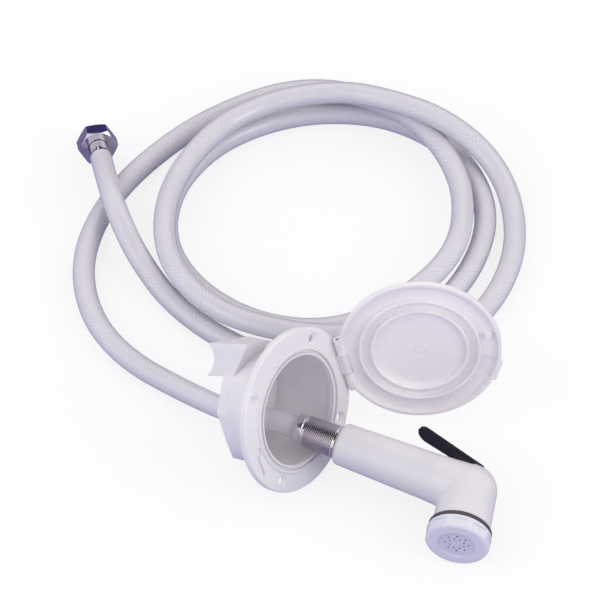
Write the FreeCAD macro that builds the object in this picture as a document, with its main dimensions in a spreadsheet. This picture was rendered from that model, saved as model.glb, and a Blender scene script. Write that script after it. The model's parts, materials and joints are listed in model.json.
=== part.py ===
import FreeCAD, Part
import Sketcher
import math
import os
import re

from FreeCAD import Placement, Rotation, Vector

# Exterior shower box: a flanged cup with a hinged lid, and a hand shower on a
# braided hose that runs through the cup. It lies on a table, as for a photograph:
# X to the right, Y away from the viewer, Z up, table at Z = 0. Millimetres.

SIZES = [
    # Where things lie
    ("housing_x", -37.42, "flange centre on the table plan"),
    ("housing_y", 16.34, "flange centre on the table plan"),
    ("housing_yaw", -34.1, "direction in which the mouth looks"),
    ("lid_open", 124.7, "lid opening angle"),
    ("elbow_x", 74.08, "crossing of handle and nozzle axes"),
    ("elbow_y", -28.96, "crossing of handle and nozzle axes"),
    ("handset_yaw", -24.0, "direction of the handle on the plan"),
    ("handset_pitch", 3.2, "fall of the handle towards the head"),
    ("handset_roll", -85.5, "roll of the handset about its handle"),
    ("fit_gap", 0.3, "gap between pieces that move past each other"),
    # Housing
    ("flange_radius", 55.0, "outer radius of the flange"),
    ("flange_thick", 2.8, "plate of the flange"),
    ("flange_depth", 4.5, "depth of the turned-back flange edge"),
    ("flange_edge", 2.5, "width of the turned-back flange edge"),
    ("edge_round", 1.2, "rounding of the flange's front edge"),
    ("cup_radius", 40.0, "outer radius of the cup"),
    ("cup_wall", 2.6, "wall of the cup"),
    ("cup_depth", 49.6, "depth of the cup from the flange's face"),
    ("rear_bevel", 1.0, "bevel of the cup's rear edge"),
    ("mouth_radius", 36.6, "radius of the mouth"),
    ("lip_radius", 41.6, "outer radius of the raised lip"),
    ("lip_height", 1.6, "height of the raised lip"),
    ("lip_slope", 0.8, "slope of the lip's edges"),
    ("groove_inner", 38.1, "inner radius of the sealing groove"),
    ("groove_outer", 40.1, "outer radius of the sealing groove"),
    ("groove_depth", 2.2, "depth of the sealing groove below the lip"),
    ("screw_edge", 7.5, "distance of the screws from the flange's edge"),
    ("screw_circle", "=2 * (flange_radius - screw_edge)", "diameter of the screw circle"),
    ("screw_count", 4, "screws around the flange"),
    ("screw_hole", 4.6, "diameter of a screw hole"),
    ("screw_sink", 8.8, "diameter of a countersink"),
    ("cut_depth", 31.2, "depth of the cup at the catch side"),
    ("cut_angle", 46.0, "slope of the cut at the catch side"),
    ("side_cut_depth", 34.4, "depth of the cup at the side cut"),
    ("side_cut_angle", 36.0, "slope of the side cut"),
    ("side_cut_turn", 140.0, "direction of the side cut about the axis"),
    ("side_pad", 1.1, "depth of the flat beside the side cut"),
    ("side_pad_depth", 27.5, "where that flat starts"),
    ("hose_hole", 36.0, "hole in the rear wall for the hose and the handle"),
    ("hose_hole_drop", 4.0, "how far that hole's centre lies below the axis"),
    ("duct_turn", 149.0, "direction of the duct's side face"),
    ("duct_side", 33.8, "distance of the duct's side face from the axis"),
    ("duct_width", 21.8, "outer width of the duct"),
    ("duct_height", 21.7, "outer height of the duct"),
    ("duct_wall", 1.8, "wall of the duct"),
    ("duct_draft", 8.5, "slope of the duct towards the rear"),
    ("duct_top_start", 18.0, "depth at which the duct's outer edge starts"),
    ("duct_low_start", 28.0, "depth at which the duct's inner edge starts"),
    ("duct_open", 37.0, "depth at which the duct is open inside"),
    ("duct_back", 50.5, "depth at which the duct ends"),
    ("scoop_radius", 13.6, "radius of the scooped duct end"),
    ("scoop_depth", 5.5, "depth of the scoop"),
    ("catch_edge", 9.0, "distance of the catch from the flange's edge"),
    ("catch_reach", "=flange_radius - catch_edge", "distance of the catch from the axis"),
    ("catch_radius", 3.4, "radius of the catch recess"),
    ("catch_depth", 1.2, "depth of the catch recess"),
    ("catch_slot_length", 17.4, "length of the catch slot"),
    ("catch_slot_width", 2.2, "width of the catch slot"),
    # Hinge
    ("hinge_inset", 4.5, "distance of the hinge axis from the flange's edge"),
    ("hinge_reach", "=flange_radius - hinge_inset", "distance of the hinge axis from the mouth's axis"),
    ("hinge_height", 3.6, "height of the hinge axis above the flange's face"),
    ("hinge_length", 41.0, "length over the knuckles"),
    ("knuckle_length", 15.0, "length of the middle knuckle"),
    ("knuckle_radius", 2.9, "radius of a knuckle"),
    ("pin_radius", 1.2, "radius of the hinge pin"),
    ("pin_clearance", 0.05, "radial clearance of a pin in its hole"),
    ("pin_short", 1.0, "how far the pin lies inside the knuckle"),
    # Lid
    ("lid_radius", "=hinge_reach + knuckle_radius", "outer radius of the lid"),
    ("lid_plate", 2.4, "thickness of the lid's plate"),
    ("lid_rim", 2.2, "thickness of the lid's rim"),
    ("lid_round", 2.0, "rounding of the lid's outer edge"),
    ("lid_clear", 0.4, "gap between lid and flange when closed"),
    ("lid_space", 1.6, "space between the lip and the closed lid"),
    ("rib_space", 0.5, "space under the sealing rib in its groove"),
    ("outer_rib", 39.9, "outer radius of the sealing rib"),
    ("rib_wall", 1.5, "thickness of a rib"),
    ("inner_rib", 32.2, "outer radius of the guide rib"),
    ("inner_rib_height", 3.4, "height of the guide rib over the plate"),
    ("pip_radius", 3.0, "radius of the catch pip"),
    ("pip_height", 3.5, "height of the catch pip over the plate"),
    ("gate_radius", 3.6, "radius of the moulding mark"),
    ("gate_height", 0.3, "height of the moulding mark"),
    ("pull_turn", -33.0, "direction of the finger pull"),
    ("pull_width", 15.0, "width of the finger pull"),
    ("pull_depth", 0.8, "depth of the finger recess"),
    ("pull_tab", 1.2, "how far the finger tab stands out of the rim"),
    # Handset body
    ("handle_back", 92.7, "distance of the handle's end from the elbow"),
    ("handle_small", 14.0, "radius of the handle at its end"),
    ("handle_large", 15.8, "radius of the handle near the head"),
    ("handle_taper", 28.0, "where the handle starts to widen"),
    ("handle_root", 17.6, "radius of the handle at the elbow"),
    ("handle_round", 3.2, "rounding of the handle's end"),
    ("elbow_radius", 18.0, "radius of the elbow"),
    ("neck_radius", 19.2, "radius of the neck at the collar"),
    ("neck_length", 31.5, "distance of the collar from the elbow"),
    ("nozzle_lean", 12.2, "how far the nozzle leans forward"),
    ("corner_round", 5.0, "rounding between handle and neck"),
    ("corner_start", 3.0, "where that rounding starts along the neck"),
    ("spigot_radius", 16.0, "radius of the threaded neck end"),
    ("spigot_length", 8.2, "length of the threaded neck end"),
    ("spigot_bore", 13.0, "radius of the water space in the neck end"),
    ("spigot_bore_depth", 5.7, "depth of that water space"),
    ("neck_bore", 6.5, "radius of the water way in the neck"),
    ("handle_bore", 5.0, "radius of the water way in the handle"),
    ("bore_end", 29.0, "where that water way ends"),
    ("inlet_way", 3.0, "radius of the way into the valve"),
    ("inlet_way_drop", 5.5, "how far that way lies below the handle's axis"),
    ("outlet_way", 2.2, "radius of the way out of the valve"),
    ("outlet_way_height", 4.1, "how far that way lies above the handle's axis"),
    # Valve, measured from the handle's axis towards the lever
    ("valve_x", 15.9, "distance of the valve from the elbow"),
    ("valve_radius", 6.0, "radius of the valve chamber"),
    ("valve_floor", 10.0, "depth of the chamber"),
    ("seat_low", 0.5, "depth of the seat's underside"),
    ("seat_thick", 2.2, "thickness of the seat"),
    ("seat_bore", 3.4, "radius of the hole in the seat"),
    ("bonnet_low", 6.5, "underside of the bonnet"),
    ("slot_floor", 10.6, "floor of the lever's slot"),
    ("stem_radius", 1.9, "radius of the valve stem"),
    ("stem_top", 17.3, "top of the stem"),
    ("disc_radius", 4.6, "radius of the valve disc"),
    ("disc_thick", 2.2, "thickness of the valve disc"),
    ("spring_radius", 3.6, "mean radius of the valve spring"),
    ("spring_wire", 0.8, "wire of the valve spring"),
    ("spring_turns", 4, "turns of the valve spring"),
    ("spring_gap", 0.1, "gap at the ends of the spring"),
    ("seal_wire", 1.3, "thickness of the stem seal"),
    # Lever
    ("lever_x", 2.5, "distance of the lever's pin from the elbow"),
    ("lever_z", 15.5, "height of the lever's pin"),
    ("lever_angle", 14.8, "angle of the lever to the handle"),
    ("lever_length", 49.5, "length of the lever from its pin"),
    ("lever_nose", 3.2, "lever past its pin"),
    ("lever_width", 14.0, "width of the lever at its free end"),
    ("lever_root", 10.0, "width of the lever at its root"),
    ("lever_top", 5.1, "height of the lever's back over the pin"),
    ("lever_thick", 2.6, "thickness of the lever's plate"),
    ("lever_block", 17.0, "length of the lever's root block"),
    ("press_low", 3.2, "underside of the block below the pin"),
    ("press_high", 0.8, "underside of the block at its far end"),
    ("lever_boss", 3.2, "radius of the lever's boss"),
    ("lever_pin_radius", 1.25, "radius of the lever's pin"),
    ("lever_pin_length", 16.4, "length of the lever's pin"),
    ("slot_back", 21.5, "where the lever's slot starts"),
    ("slot_front", 2.5, "where the lever's slot ends beyond the elbow"),
    # Nozzle, measured from the elbow along the nozzle's axis
    ("collar_thick", 3.0, "thickness of the dark collar"),
    ("collar_radius", 21.0, "radius of the dark collar"),
    ("cap_radius", 21.3, "radius of the nozzle cap"),
    ("cap_front", 44.0, "distance of the cap's face from the elbow"),
    ("cap_lip", 1.2, "thickness of the cap's front lip"),
    ("cap_mouth", 12.6, "radius of the cap's opening"),
    ("cap_round", 3.0, "rounding of the cap's front edge"),
    ("grip_count", 9, "finger flats around the cap"),
    ("grip_depth", 1.0, "depth of a finger flat"),
    ("grip_start", 2.2, "distance of the flats from the cap's rear edge"),
    ("plate_thick", 1.6, "thickness of the spray plate"),
    ("gasket_thick", 1.2, "thickness of the nozzle gasket"),
    ("gasket_bore", 13.2, "radius of the nozzle gasket's hole"),
    ("jet_count", 8, "spray holes in each ring"),
    ("outer_jets", 7.7, "radius of the outer ring of spray holes"),
    ("inner_jets", 5.0, "radius of the inner ring of spray holes"),
    ("jet_radius", 0.6, "radius of a spray hole"),
    # Hose and its fittings
    ("hose_radius", 7.5, "outer radius of the hose"),
    ("hose_bore", 5.0, "radius of the hose's bore"),
    ("spigot_fit", 0.1, "gap between a spigot and the hose's bore"),
    ("nipple_length", 9.8, "length of the inlet nipple outside the handle"),
    ("nipple_radius", 8.5, "radius of the inlet nipple"),
    ("nipple_seat", 9.0, "radius of the nipple's seat in the handle"),
    ("nipple_depth", 12.0, "depth of the nipple in the handle"),
    ("washer_thick", 1.5, "thickness of the inlet washer"),
    ("washer_bore", 4.5, "radius of a washer's hole"),
    ("tail_flange", 8.2, "radius of the hose tail's flange"),
    ("tail_flange_thick", 2.5, "thickness of the hose tail's flange"),
    ("tail_bore", 3.8, "radius of a tail's bore"),
    ("tail_length", 15.5, "length of the hose tail in the hose"),
    ("ferrule_length", 29.8, "length of the knurled nut"),
    ("ferrule_small", 9.9, "radius of the knurled nut at the hose"),
    ("ferrule_large", 11.0, "radius of the knurled nut at the handle"),
    ("ferrule_bevel", 1.2, "bevel at the ends of the knurled nut"),
    ("end_collar", 6.7, "radius of the sleeve between the hose and the hexagon nut"),
    ("end_bead", 7.3, "radius of the sleeve's bead against the hose"),
    ("end_bead_length", 1.6, "length of that bead"),
    ("end_tail_length", 12.0, "length of the end fitting in the hose"),
    ("end_flange", 8.9, "radius of the end fitting's flange"),
    ("end_flange_thick", 1.5, "thickness of the end fitting's flange"),
    ("nut_flats", 24.0, "hexagon nut across its flats"),
    ("nut_start", 13.5, "distance of the nut from the end of the hose"),
    ("nut_length", 11.5, "length of the hexagon nut"),
    ("nut_wall", 2.0, "back wall of the hexagon nut"),
    ("nut_thread", 9.3, "radius of the nut's thread"),
    ("nut_relief", 9.8, "radius of the relief behind the nut's thread"),
    ("nut_bevel", 30.0, "angle of the bevel on the nut's corners"),
    ("nut_washer", 1.5, "thickness of the nut's washer"),
]

# Route of the hose from the knurled nut through the cup and round to the hexagon nut,
# chosen by hand: X, Y and height of the hose's centre.
HOSE_ROUTE = [
    (-23.06, 14.29, 30.79), (-50.42, 26.47, 32.47), (-78.8, 39.76, 23.5), (-112.8, 71.9, 10.5),
    (-152.8, 103.9, 7.6), (-177.8, 144.9, 7.6), (-183.8, 198.9, 7.6), (-163.8, 256.9, 7.6),
    (-120.8, 309.9, 7.6), (-76.8, 339.9, 9.0), (-36.8, 345.9, 18.5), (2.2, 335.9, 24.5),
    (36.2, 318.9, 23.5), (62.7, 286.9, 20.5), (76.2, 243.9, 17.5), (69.7, 188.9, 20.5),
    (35.7, 148.9, 18.0), (-6.8, 129.4, 8.0), (-56.8, 131.4, 7.6), (-101.8, 160.4, 7.6),
    (-127.8, 206.9, 7.6), (-123.8, 258.9, 7.6), (-95.8, 301.9, 7.6), (-54.8, 326.9, 7.6),
    (-10.8, 334.9, 7.6), (34.2, 325.9, 7.6), (75.2, 291.9, 7.6), (93.2, 238.9, 7.6),
    (81.2, 185.9, 7.6), (49.7, 138.4, 8.0), (2.2, 112.4, 19.5), (-47.8, 111.9, 24.5),
    (-97.3, 133.9, 24.0), (-127.8, 181.9, 23.8), (-126.8, 244.9, 23.5), (-95.8, 301.9, 23.0),
    (-54.8, 327.9, 25.5), (-8.8, 327.9, 35.0), (25.2, 313.9, 40.0), (61.2, 299.4, 37.2),
    (92.7, 279.9, 21.5), (109.7, 243.9, 10.0), (108.7, 189.9, 7.6), (82.2, 134.9, 7.6),
    (32.2, 100.9, 7.6), (-22.8, 93.9, 7.6), (-73.8, 109.9, 7.6), (-119.8, 149.9, 7.6),
    (-145.7, 189.6, 15.9), (-160.2, 222.1, 26.9), (-167.0, 252.8, 24.9), (-171.5, 279.6, 17.8),
]

DOC = FreeCAD.newDocument("shower_box")
SHEET = DOC.addObject("Spreadsheet::Sheet", "Sizes")
NAMES = {alias for alias, value, note in SIZES}
IN_PLACE = Placement()
UP = (0, 0, 1)
SIDE = (1, 0, 0)


def fill_sheet():
    """One row for each size: what it is, and its value or how it follows from others."""
    for row, (alias, value, note) in enumerate(SIZES, start=1):
        SHEET.set("A%d" % row, note)
        SHEET.set("B%d" % row, str(value))
        SHEET.setAlias("B%d" % row, alias)
    DOC.recompute()


def cells(text):
    """An expression in plain size names, as the document writes it."""
    return re.sub(r"[a-z]\w*", lambda word: "Sizes." + word[0] if word[0] in NAMES else word[0], text)


def size(text):
    """The value of an expression in plain size names."""
    return float(SHEET.evalExpression(text))


def bind(piece, **expressions):
    """Ties properties of an object to sizes."""
    for name, text in expressions.items():
        piece.setExpression(name, cells(text))


def frame(base, x_way, z_way):
    """A placement from its origin, its X direction and its Z direction."""
    return Placement(Vector(*base), Rotation(Vector(*x_way), Vector(), Vector(*z_way), "ZXY"))


def inside(place, x, y, z, x_way=SIDE, z_way=UP):
    """A frame given within another frame; its origin is in expressions."""
    return place.multiply(frame((size(x), size(y), size(z)), x_way, z_way))


def local(x, y, z, x_way=SIDE, z_way=UP):
    """A frame within a body."""
    return inside(IN_PLACE, x, y, z, x_way, z_way)


def new_body(node, place):
    """A body of its own for one sub-part, at its place."""
    body = DOC.addObject("PartDesign::Body", node)
    body.Label = node
    body.Placement = place
    return body


def origin_part(body, role):
    """A plane or an axis of the body's own origin."""
    return next(part for part in body.Origin.OriginFeatures if part.Role == role)


def new_sketch(body, plane):
    """An empty sketch on one of the body's origin planes."""
    sketch = body.newObject("Sketcher::SketchObject", body.Name + "_sketch")
    sketch.AttachmentSupport = [(origin_part(body, plane), "")]
    sketch.MapMode = "FlatFace"
    return sketch


def hold(sketch, element, spot, corner):
    """Holds a point of a sketch at a pair of expressions."""
    for kind, text in zip(("DistanceX", "DistanceY"), corner):
        number = sketch.addConstraint(Sketcher.Constraint(kind, -1, 1, element, spot, size(text)))
        sketch.setExpression("Constraints[%d]" % number, cells(text))


def outline(body, plane, corners):
    """A closed sketch of straight runs between corners in pairs of expressions."""
    sketch = new_sketch(body, plane)
    spots = [Vector(size(across), size(along), 0) for across, along in corners]
    count = len(corners)
    for index in range(count):
        sketch.addGeometry(Part.LineSegment(spots[index], spots[(index + 1) % count]), False)
    for index in range(count):
        sketch.addConstraint(Sketcher.Constraint("Coincident", index, 2, (index + 1) % count, 1))
    for index, corner in enumerate(corners):
        hold(sketch, index, 1, corner)
    return sketch


def circle(body, plane, radius, across="0", along="0"):
    """A sketch of one circle."""
    sketch = new_sketch(body, plane)
    ring = Part.Circle(Vector(size(across), size(along), 0), Vector(*UP), size(radius))
    sketch.addGeometry(ring, False)
    hold(sketch, 0, 3, (across, along))
    number = sketch.addConstraint(Sketcher.Constraint("Radius", 0, size(radius)))
    sketch.setExpression("Constraints[%d]" % number, cells(radius))
    return sketch


def turn(body, corners, kind="PartDesign::Revolution"):
    """Turns an outline of (radius, height) corners about the body's Z axis."""
    sketch = outline(body, "XZ_Plane", corners)
    feature = body.newObject(kind, body.Name + "_turn")
    feature.Profile = sketch
    feature.ReferenceAxis = (sketch, ["V_Axis"])
    feature.Angle = 360
    return feature


def both_ways(body, sketch, length, kind="PartDesign::Pad"):
    """Pads or cuts a sketch equally to both sides of its plane."""
    feature = body.newObject(kind, body.Name + "_across")
    feature.Profile = sketch
    feature.Midplane = True
    bind(feature, Length=length)
    return feature


def pad_from(body, sketch, start, length):
    """Pads a sketch along its normal, from a start height over its plane."""
    bind(sketch, **{"AttachmentOffset.Base.z": start})
    feature = body.newObject("PartDesign::Pad", body.Name + "_pad")
    feature.Profile = sketch
    bind(feature, Length=length)
    return feature


def primitive(body, kind, place, **sizes):
    """An additive or subtractive primitive in the body."""
    feature = body.newObject("PartDesign::" + kind, body.Name + "_" + kind)
    feature.Placement = place
    bind(feature, **sizes)
    return feature


def repeat_round(body, features, count):
    """Repeats features evenly about the body's Z axis."""
    pattern = body.newObject("PartDesign::PolarPattern", body.Name + "_round")
    pattern.Originals = features
    pattern.Axis = (origin_part(body, "Z_Axis"), [""])
    pattern.Angle = 360
    bind(pattern, Occurrences=count)
    body.Tip = pattern
    return pattern


def soften(body, test, amount, kind="Fillet"):
    """Rounds or bevels the edges of the body whose every point passes a test."""
    DOC.recompute()
    base = body.Tip
    chosen = []
    for number, edge in enumerate(base.Shape.Edges, start=1):
        low, high = edge.ParameterRange
        spots = [edge.valueAt(low + (high - low) * part / 4) for part in range(5)]
        if all(test(spot) for spot in spots):
            chosen.append("Edge%d" % number)
    feature = body.newObject("PartDesign::" + kind, body.Name + "_soft")
    feature.Base = (base, chosen)
    bind(feature, **{"Radius" if kind == "Fillet" else "Size": amount})
    print("softened", body.Name, len(chosen), "edges")
    return feature


def ring_test(radius, height, centre=(0, 0)):
    """Tells whether a point lies on a circle about the body's Z axis."""
    wanted = size(radius)
    level = size(height)

    def test(spot):
        reach = math.hypot(spot.x - centre[0], spot.y - centre[1])
        return abs(reach - wanted) < 0.05 and abs(spot.z - level) < 0.05
    return test


def joined(node, kind, first, second, place):
    """A boolean of two solids as the finished sub-part."""
    result = DOC.addObject("Part::" + kind, node)
    result.Label = node
    result.Base = first
    result.Tool = second
    result.Placement = place
    return result


def wedge(body, corners, direction):
    """Cuts an outline of (minus distance from the axis, height) right across the body."""
    sketch = outline(body, "XZ_Plane", corners)
    spin = Rotation(Vector(0, 1, 0), size(direction) - 180)
    sketch.AttachmentOffset = Placement(Vector(), spin)
    return both_ways(body, sketch, "4 * flange_radius", "PartDesign::Pocket")


def side_cuts(body, inset):
    """The two slopes at the cup's rear, for the outside or moved in by a wall."""
    slope = "tan(cut_angle * 1deg)"
    start = "(cut_depth - %s / cos(cut_angle * 1deg))" % inset
    wedge(body, [
        ("-cup_radius - 6", "-%s + 6 * %s" % (start, slope)),
        ("-cup_radius - 6", "-2 * cup_depth"),
        ("-cup_radius + (2 * cup_depth - %s) / %s" % (start, slope), "-2 * cup_depth"),
    ], "180")
    slope = "tan(side_cut_angle * 1deg)"
    start = "(side_cut_depth - %s / cos(side_cut_angle * 1deg))" % inset
    wedge(body, [
        ("-cup_radius - 6", "-side_pad_depth"),
        ("-cup_radius + side_pad", "-side_pad_depth"),
        ("-cup_radius + side_pad", "-%s - side_pad * %s" % (start, slope)),
        ("-cup_radius + (2 * cup_depth - %s) / %s" % (start, slope), "-2 * cup_depth"),
        ("-cup_radius - 6", "-2 * cup_depth"),
    ], "side_cut_turn")


def duct_block(body, corners, wall):
    """The duct from an outline of (distance from the axis, height) in its own plane."""
    sketch = outline(body, "XZ_Plane", corners)
    spin = Rotation(Vector(0, 1, 0), size("duct_turn - 90"))
    sketch.AttachmentOffset = Placement(Vector(), spin)
    start = "(%s - duct_side)" % wall
    bind(sketch, **{
        "AttachmentOffset.Base.x": start + " * sin((duct_turn - 90) * 1deg)",
        "AttachmentOffset.Base.z": start + " * cos((duct_turn - 90) * 1deg)",
    })
    feature = body.newObject("PartDesign::Pad", body.Name + "_duct")
    feature.Profile = sketch
    bind(feature, Length="duct_width - 2 * %s" % wall)
    return feature


def duct_line(depth, edge):
    """Distance from the axis of the duct's outer or inner edge at a depth."""
    return "%s + (duct_back - (%s)) * tan(duct_draft * 1deg)" % (edge, depth)


def add_duct(body):
    """The duct's outer block with its scooped end."""
    outer_edge = "cup_radius"
    inner_edge = "cup_radius - duct_height"
    duct_block(body, [
        (duct_line("duct_low_start", inner_edge), "-duct_low_start"),
        (duct_line("duct_top_start", outer_edge), "-duct_top_start"),
        (duct_line("duct_back", outer_edge), "-duct_back"),
        (duct_line("duct_back", inner_edge), "-duct_back"),
    ], "0 * duct_wall")
    angle = math.radians(size("duct_turn"))
    rise = size("cup_radius - duct_height / 2")
    across = size("duct_side - duct_width")
    x = across * math.cos(angle) + rise * math.sin(angle)
    y = across * math.sin(angle) - rise * math.cos(angle)
    depth = size("duct_back + scoop_radius - scoop_depth")
    place = frame((x, y, -depth), UP, (math.cos(angle), math.sin(angle), 0))
    primitive(body, "SubtractiveCylinder", place, Radius="scoop_radius", Height="2 * duct_width")


def make_housing(node, place):
    """Flange, cup, middle knuckle and rear duct, moulded in one."""
    shell = new_body(node + "_shell", IN_PLACE)
    turn(shell, [
        ("0", "-cup_depth"),
        ("cup_radius - rear_bevel", "-cup_depth"),
        ("cup_radius", "-cup_depth + rear_bevel"),
        ("cup_radius", "-flange_thick"),
        ("flange_radius - flange_edge", "-flange_thick"),
        ("flange_radius - flange_edge", "-flange_depth"),
        ("flange_radius", "-flange_depth"),
        ("flange_radius", "0"),
        ("lip_radius + lip_slope", "0"),
        ("lip_radius", "lip_height"),
        ("groove_outer", "lip_height"),
        ("groove_outer", "lip_height - groove_depth"),
        ("groove_inner", "lip_height - groove_depth"),
        ("groove_inner", "lip_height"),
        ("0", "lip_height"),
    ])
    soften(shell, ring_test("flange_radius", "0"), "edge_round")
    side_cuts(shell, "0")
    add_duct(shell)
    both_ways(shell, circle(shell, "XZ_Plane", "knuckle_radius", "hinge_reach", "hinge_height"),
              "knuckle_length")
    both_ways(shell, outline(shell, "XZ_Plane", [
        ("hinge_reach - knuckle_radius", "hinge_height"),
        ("hinge_reach + knuckle_radius", "hinge_height"),
        ("hinge_reach + knuckle_radius", "-flange_thick / 2"),
        ("hinge_reach - knuckle_radius", "-flange_thick / 2"),
    ]), "knuckle_length")
    bore = circle(shell, "XZ_Plane", "pin_radius + pin_clearance", "hinge_reach", "hinge_height")
    both_ways(shell, bore, "hinge_length", "PartDesign::Pocket")
    primitive(shell, "SubtractiveCylinder", local("-catch_reach", "0", "-catch_depth"),
              Radius="catch_radius", Height="2 * catch_depth")
    slot_corner = local("-catch_reach - catch_slot_width", "-catch_slot_length", "-catch_depth")
    primitive(shell, "SubtractiveBox", slot_corner,
              Length="catch_slot_width", Width="catch_slot_length", Height="2 * catch_depth")
    first_screw = "screw_circle / 2 * cos(45deg)"
    hole = primitive(shell, "SubtractiveCylinder", local(first_screw, first_screw, "-2 * flange_depth"),
                     Radius="screw_hole / 2", Height="3 * flange_depth")
    sink_depth = "(screw_sink - screw_hole) / 2"
    sink = primitive(shell, "SubtractiveCone", local(first_screw, first_screw, "-" + sink_depth),
                     Radius1="screw_hole / 2", Radius2="screw_sink / 2", Height=sink_depth)
    repeat_round(shell, [hole, sink], "screw_count")

    space = new_body(node + "_space", IN_PLACE)
    turn(space, [
        ("0", "-cup_depth + cup_wall"),
        ("cup_radius - cup_wall", "-cup_depth + cup_wall"),
        ("cup_radius - cup_wall", "-2 * cup_wall"),
        ("mouth_radius", "-cup_wall"),
        ("mouth_radius", "lip_height - lip_slope / 2"),
        ("mouth_radius + lip_slope", "lip_height + lip_slope / 2"),
        ("0", "lip_height + lip_slope / 2"),
    ])
    side_cuts(space, "cup_wall")
    primitive(space, "AdditiveCylinder", local("0", "-hose_hole_drop", "-cup_depth - cup_wall"),
              Radius="hose_hole / 2", Height="3 * cup_wall")
    duct_block(space, [
        (duct_line("duct_open", "cup_radius - duct_height + duct_wall"), "-duct_open"),
        (duct_line("duct_open", "cup_radius - duct_wall"), "-duct_open"),
        (duct_line("duct_back + cup_wall", "cup_radius - duct_wall"), "-duct_back - cup_wall"),
        (duct_line("duct_back + cup_wall", "cup_radius - duct_height + duct_wall"),
         "-duct_back - cup_wall"),
    ], "duct_wall")
    return joined(node, "Cut", shell, space, place)


def make_lid(node, place):
    """Lid with rim, two round ribs, catch pip, finger pull and two knuckles."""
    lid = new_body(node, place)
    floor = "(hinge_height - lip_height - lid_space)"
    rim_top = "hinge_height - lid_clear"
    rib_top = "hinge_height - lip_height + groove_depth - rib_space"
    guide_top = floor + " + inner_rib_height"
    turn(lid, [
        ("0", floor + " - lid_plate"),
        ("lid_radius", floor + " - lid_plate"),
        ("lid_radius", rim_top),
        ("lid_radius - lid_rim", rim_top),
        ("lid_radius - lid_rim", floor),
        ("outer_rib", floor),
        ("outer_rib", rib_top),
        ("outer_rib - rib_wall", rib_top),
        ("outer_rib - rib_wall", floor),
        ("inner_rib", floor),
        ("inner_rib", guide_top),
        ("inner_rib - rib_wall", guide_top),
        ("inner_rib - rib_wall", floor),
        ("0", floor),
    ])
    soften(lid, ring_test("lid_radius", floor + " - lid_plate"), "lid_round")

    def rib_edge(spot):
        reach = math.hypot(spot.x, spot.y)
        near_rib = size("inner_rib - rib_wall") - 0.1 < reach < size("outer_rib") + 0.1
        on_top = spot.z > size(floor) + 1 and near_rib
        return on_top or (reach > size("lid_radius") - 0.1 and spot.z > size(rim_top) - 0.1)
    soften(lid, rib_edge, "rib_wall / 4")
    primitive(lid, "AdditiveCylinder", local("0", "0", floor + " - lid_plate / 2"),
              Radius="gate_radius", Height="gate_height + lid_plate / 2")
    primitive(lid, "AdditiveCone", local("catch_reach", "0", floor + " - lid_plate / 2"),
              Radius1="pip_radius", Radius2="pip_radius * 0.75", Height="pip_height + lid_plate / 2")
    angle = math.radians(size("pull_turn"))
    outwards = (math.cos(angle), math.sin(angle), 0)

    def pull_place(reach, height):
        along = size(reach)
        half = size("pull_width / 2")
        x = along * outwards[0] + half * outwards[1]
        y = along * outwards[1] - half * outwards[0]
        return frame((x, y, size(height)), outwards, UP)
    primitive(lid, "SubtractiveBox", pull_place("outer_rib + rib_wall", floor + " - pull_depth"),
              Length="lid_radius - lid_rim - outer_rib - rib_wall", Width="pull_width",
              Height="2 * pull_depth")
    primitive(lid, "AdditiveBox", pull_place("lid_radius - lid_rim", floor),
              Length="lid_rim + pull_tab", Width="pull_width", Height="hinge_height - lid_clear - " + floor)
    # The rim is lower over the hinge, so that it clears the flange as the lid turns.
    primitive(lid, "SubtractiveBox", local("-lid_radius - 1", "-knuckle_length", "knuckle_radius / 2"),
              Length="lid_radius + 1 - hinge_reach + knuckle_radius / 3", Width="2 * knuckle_length",
              Height="hinge_height")
    both_ways(lid, circle(lid, "XZ_Plane", "knuckle_radius", "-hinge_reach"), "hinge_length")
    primitive(lid, "SubtractiveBox",
              local("-lid_radius - 1", "-knuckle_length / 2 - fit_gap", "-2 * hinge_height"),
              Length="lid_radius + 1 - hinge_reach + knuckle_radius + 2 * fit_gap",
              Width="knuckle_length + 2 * fit_gap", Height="4 * hinge_height")
    bore_start = local("-hinge_reach", "-hinge_length / 2 + pin_short - pin_clearance", "0",
                       UP, (0, 1, 0))
    primitive(lid, "SubtractiveCylinder", bore_start,
              Radius="pin_radius + pin_clearance", Height="2 * hinge_length")
    return lid


def make_hinge_pin(node, place):
    """Straight pin through the three knuckles."""
    pin = new_body(node, place)
    both_ways(pin, circle(pin, "XZ_Plane", "pin_radius"), "hinge_length - 2 * pin_short")
    return pin


def make_turned(node, place, corners):
    """A turned piece about the Z axis of its place."""
    piece = new_body(node, place)
    turn(piece, corners)
    return piece


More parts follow.
